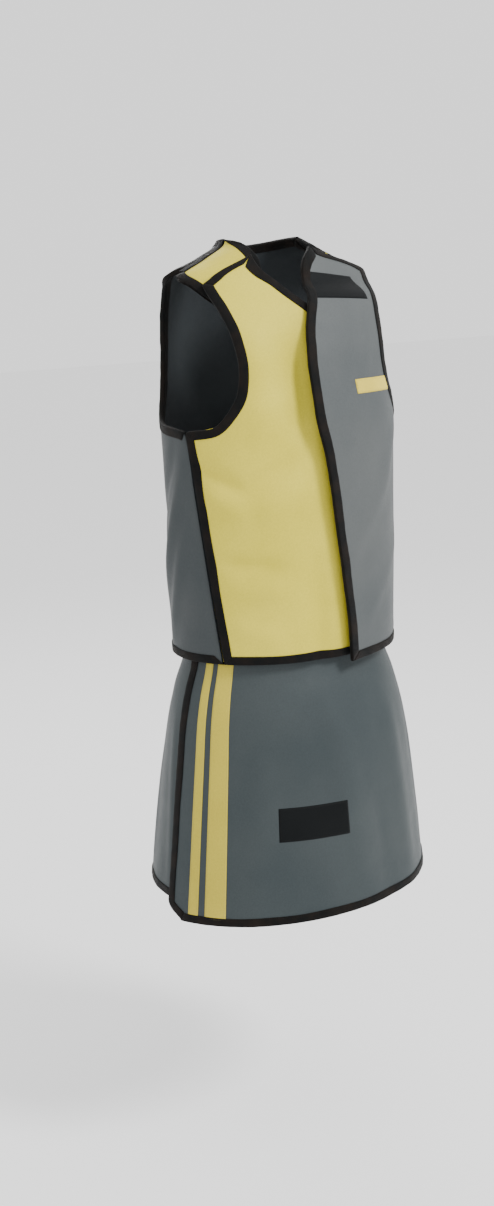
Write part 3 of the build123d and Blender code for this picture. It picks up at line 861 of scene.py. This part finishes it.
def build_vest_trim():
    chest = front_spots(((46, -222), (121, -221), (121, -201), (46, -202)))
    add_patch("chest_patch_cloth", LEFT_FRONT, chest, "left_front", CHEST, "chest_patch", "khaki_shell",
              thread=PALE_THREAD)
    label = front_spots(((10, -92), (108, -97), (100, -60), (17, -47)))
    add_patch("shoulder_label_cloth", LEFT_FRONT, label, "left_front", LABEL, "shoulder_label", "label_cloth",
              thread=THREAD)
    add_patch("front_loop_pile", RIGHT_FRONT, angle_box(*FRONT_TAPE), "right_front", PILE,
              "front_loop_tape", "hook_and_loop", thread=THREAD)
    add_patch("front_hook_pile", LEFT_FRONT, angle_box(*FRONT_TAPE), "left_front", PILE,
              "front_hook_tape", "hook_and_loop", distance=HOOK_FACE)


def build_skirt():
    wrap_start = straight_edge(WRAP_SEAM, WRAP_HEM, SKIRT_TOP)
    wrap = Panel(SKIRT, wrap_start, straight_edge(WRAP_END, WRAP_HEM, SKIRT_TOP))
    front = Panel(FLAP, flap_lead, straight_edge(-WRAP_SEAM, FLAP_HEM_LEFT, SKIRT_TOP))
    build_panel("skirt_wrap", wrap, "skirt", SKIRT_SLATE, ["skirt_wrap"], "slate_shell")
    front_nodes = ["skirt_front_yoke", "skirt_front_flap"]
    build_panel("skirt_front", front, "skirt_front", SKIRT_SLATE, front_nodes, "slate_shell")
    narrow = ((-162.6, -990), (-157.6, -989), (-157.6, -452), (-162.6, -452))
    wide = ((-154.4, -988), (-145.0, -986), (-145.0, -452), (-154.4, -452))
    for name, corners in (("narrow_stripe", narrow), ("wide_stripe", wide)):
        add_patch(f"{name}_cloth", FLAP, corners, "skirt_front", STRIPE, name, "khaki_shell",
                  thread=PALE_THREAD, thickness=0.6, soften=0.3)
    label = angle_box(-123, -93.5, -866, -816)
    add_patch("skirt_label_cloth", FLAP, label, "skirt_flap", LABEL, "skirt_label", "label_cloth",
              thread=THREAD)
    add_patch("flap_hook_pile", FLAP, angle_box(-171, -164, -940, -720), "skirt_flap", PILE, "flap_hook_tape",
              "hook_and_loop", distance=HOOK_FACE)
    add_patch("wrap_loop_pile", SKIRT, angle_box(188, 198, -940, -640), "skirt", PILE, "wrap_loop_tape",
              "hook_and_loop")


def ring_lift(angle, z):
    turned = np.where(angle < 180, angle, angle - 360)
    front = FLAP_LIFT * smooth(-turned, 8, 62)
    return np.where(turned < 0, front, FLAP_LIFT * smooth(turned, 172, 180))


def build_waist():
    ring = Form(SKIRT_FORM, ring_lift)
    corners = angle_box(-72, 252, -489, -451)
    add_patch("waist_belt_webbing", ring, corners, "skirt", WEBBING, "waist_belt", "webbing", distance=6.2,
              thickness=2.0, step=5.0)
    for node in ("buckle_socket", "buckle_tongue"):
        paint(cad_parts[node], PLASTIC)


HANGER_RADIUS, HANGER_WIDTH, HANGER_Y, HANGER_Z = 15.0, 12.0, 111.16, -35.53


def build_hanger():
    """A webbing ring behind the neck, and the foot that sews it to the back."""
    turns, edges = np.linspace(0, 2 * pi, 49), np.linspace(-0.5, 0.5, 7)
    skins = []
    for grow in (1.0, -1.0):
        reach = HANGER_RADIUS + grow * (1 - 0.5 * np.abs(edges * 2) ** 4)
        x = np.sin(turns)[:, None] * reach[None, :]
        z = HANGER_Z + np.cos(turns)[:, None] * reach[None, :]
        skins.append(np.stack([x, HANGER_Y + edges[None, :] * HANGER_WIDTH + 0 * x, z], -1))
    s, t, uv = flat_shares(49, 7, 2 * pi * HANGER_RADIUS, HANGER_WIDTH)
    loop = paint(slab("hanger_loop_webbing", skins[0], skins[1], uv[..., ::-1]), WEBBING)
    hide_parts("hanger_loop")
    place(loop, "vest_back")
    foot_top = HANGER_Z - HANGER_RADIUS
    corners = angle_box(87, 93, foot_top - 22, foot_top)
    foot = paint(patch("hanger_foot_webbing", BACK, corners, 5.1, thickness=3.0), WEBBING)
    place(foot, "vest_back")


# ---- floor, light and camera --------------------------------------------------------------------------
FLOOR_Z = -1.385


def build_floor():
    size = 14.0
    points = [(x * size / MM, y * size / MM, FLOOR_Z / MM) for x, y in ((-1, -1), (1, -1), (1, 1), (-1, 1))]
    floor = mesh_object("floor", points, [[0, 1, 2, 3]])
    nodes = Nodes("floor_paper")
    nodes.shader.inputs["Base Color"].default_value = (0.93, 0.93, 0.93, 1)
    nodes.shader.inputs["Roughness"].default_value = 0.85
    paint(floor, nodes.material)


def area_light(name, place_at, aim, size, power):
    data = bpy.data.lights.new(name, "AREA")
    data.shape = "DISK"
    data.size = size
    data.energy = power
    light = bpy.data.objects.new(name, data)
    light.location = place_at
    light.rotation_euler = (Vector(aim) - Vector(place_at)).to_track_quat("-Z", "Y").to_euler()
    bpy.context.scene.collection.objects.link(light)


def build_light():
    world = bpy.data.worlds.new("studio")
    world.use_nodes = True
    background = world.node_tree.nodes["Background"]
    background.inputs["Color"].default_value = (1.0, 1.0, 1.0, 1)
    background.inputs["Strength"].default_value = 1.4
    bpy.context.scene.world = world
    aim = (0, 0, -0.55)
    area_light("key", (1.25, -2.4, 1.8), aim, 1.0, 130)
    area_light("fill", (-2.6, -1.2, 0.3), aim, 2.2, 10)
    area_light("rim", (0.8, 2.6, 1.2), aim, 1.6, 30)


CAMERA_AZIMUTH, CAMERA_ROLL = radians(-33), radians(1.6)
CAMERA_DISTANCE, CAMERA_Z, TARGET_Z = 2.5, 0.02, -0.545
CAMERA_SIDE, CAMERA_LENS = -0.0525, 49.4


def build_camera():
    data = bpy.data.cameras.new("camera")
    data.sensor_fit = "VERTICAL"
    data.sensor_height = 36.0
    data.lens = CAMERA_LENS
    camera = bpy.data.objects.new("camera", data)
    bpy.context.scene.collection.objects.link(camera)
    back = Vector((sin(CAMERA_AZIMUTH), -cos(CAMERA_AZIMUTH), 0))
    right = Vector((cos(CAMERA_AZIMUTH), sin(CAMERA_AZIMUTH), 0))
    position = back * CAMERA_DISTANCE + right * CAMERA_SIDE + Vector((0, 0, CAMERA_Z))
    target = right * CAMERA_SIDE + Vector((0, 0, TARGET_Z))
    turn = (target - position).to_track_quat("-Z", "Y").to_matrix().to_4x4()
    camera.matrix_world = Matrix.Translation(position) @ turn @ Matrix.Rotation(-CAMERA_ROLL, 4, "Z")
    bpy.context.scene.camera = camera


build_camera()
build_floor()
build_light()
build_vest()
build_vest_trim()
build_skirt()
build_waist()
build_hanger()
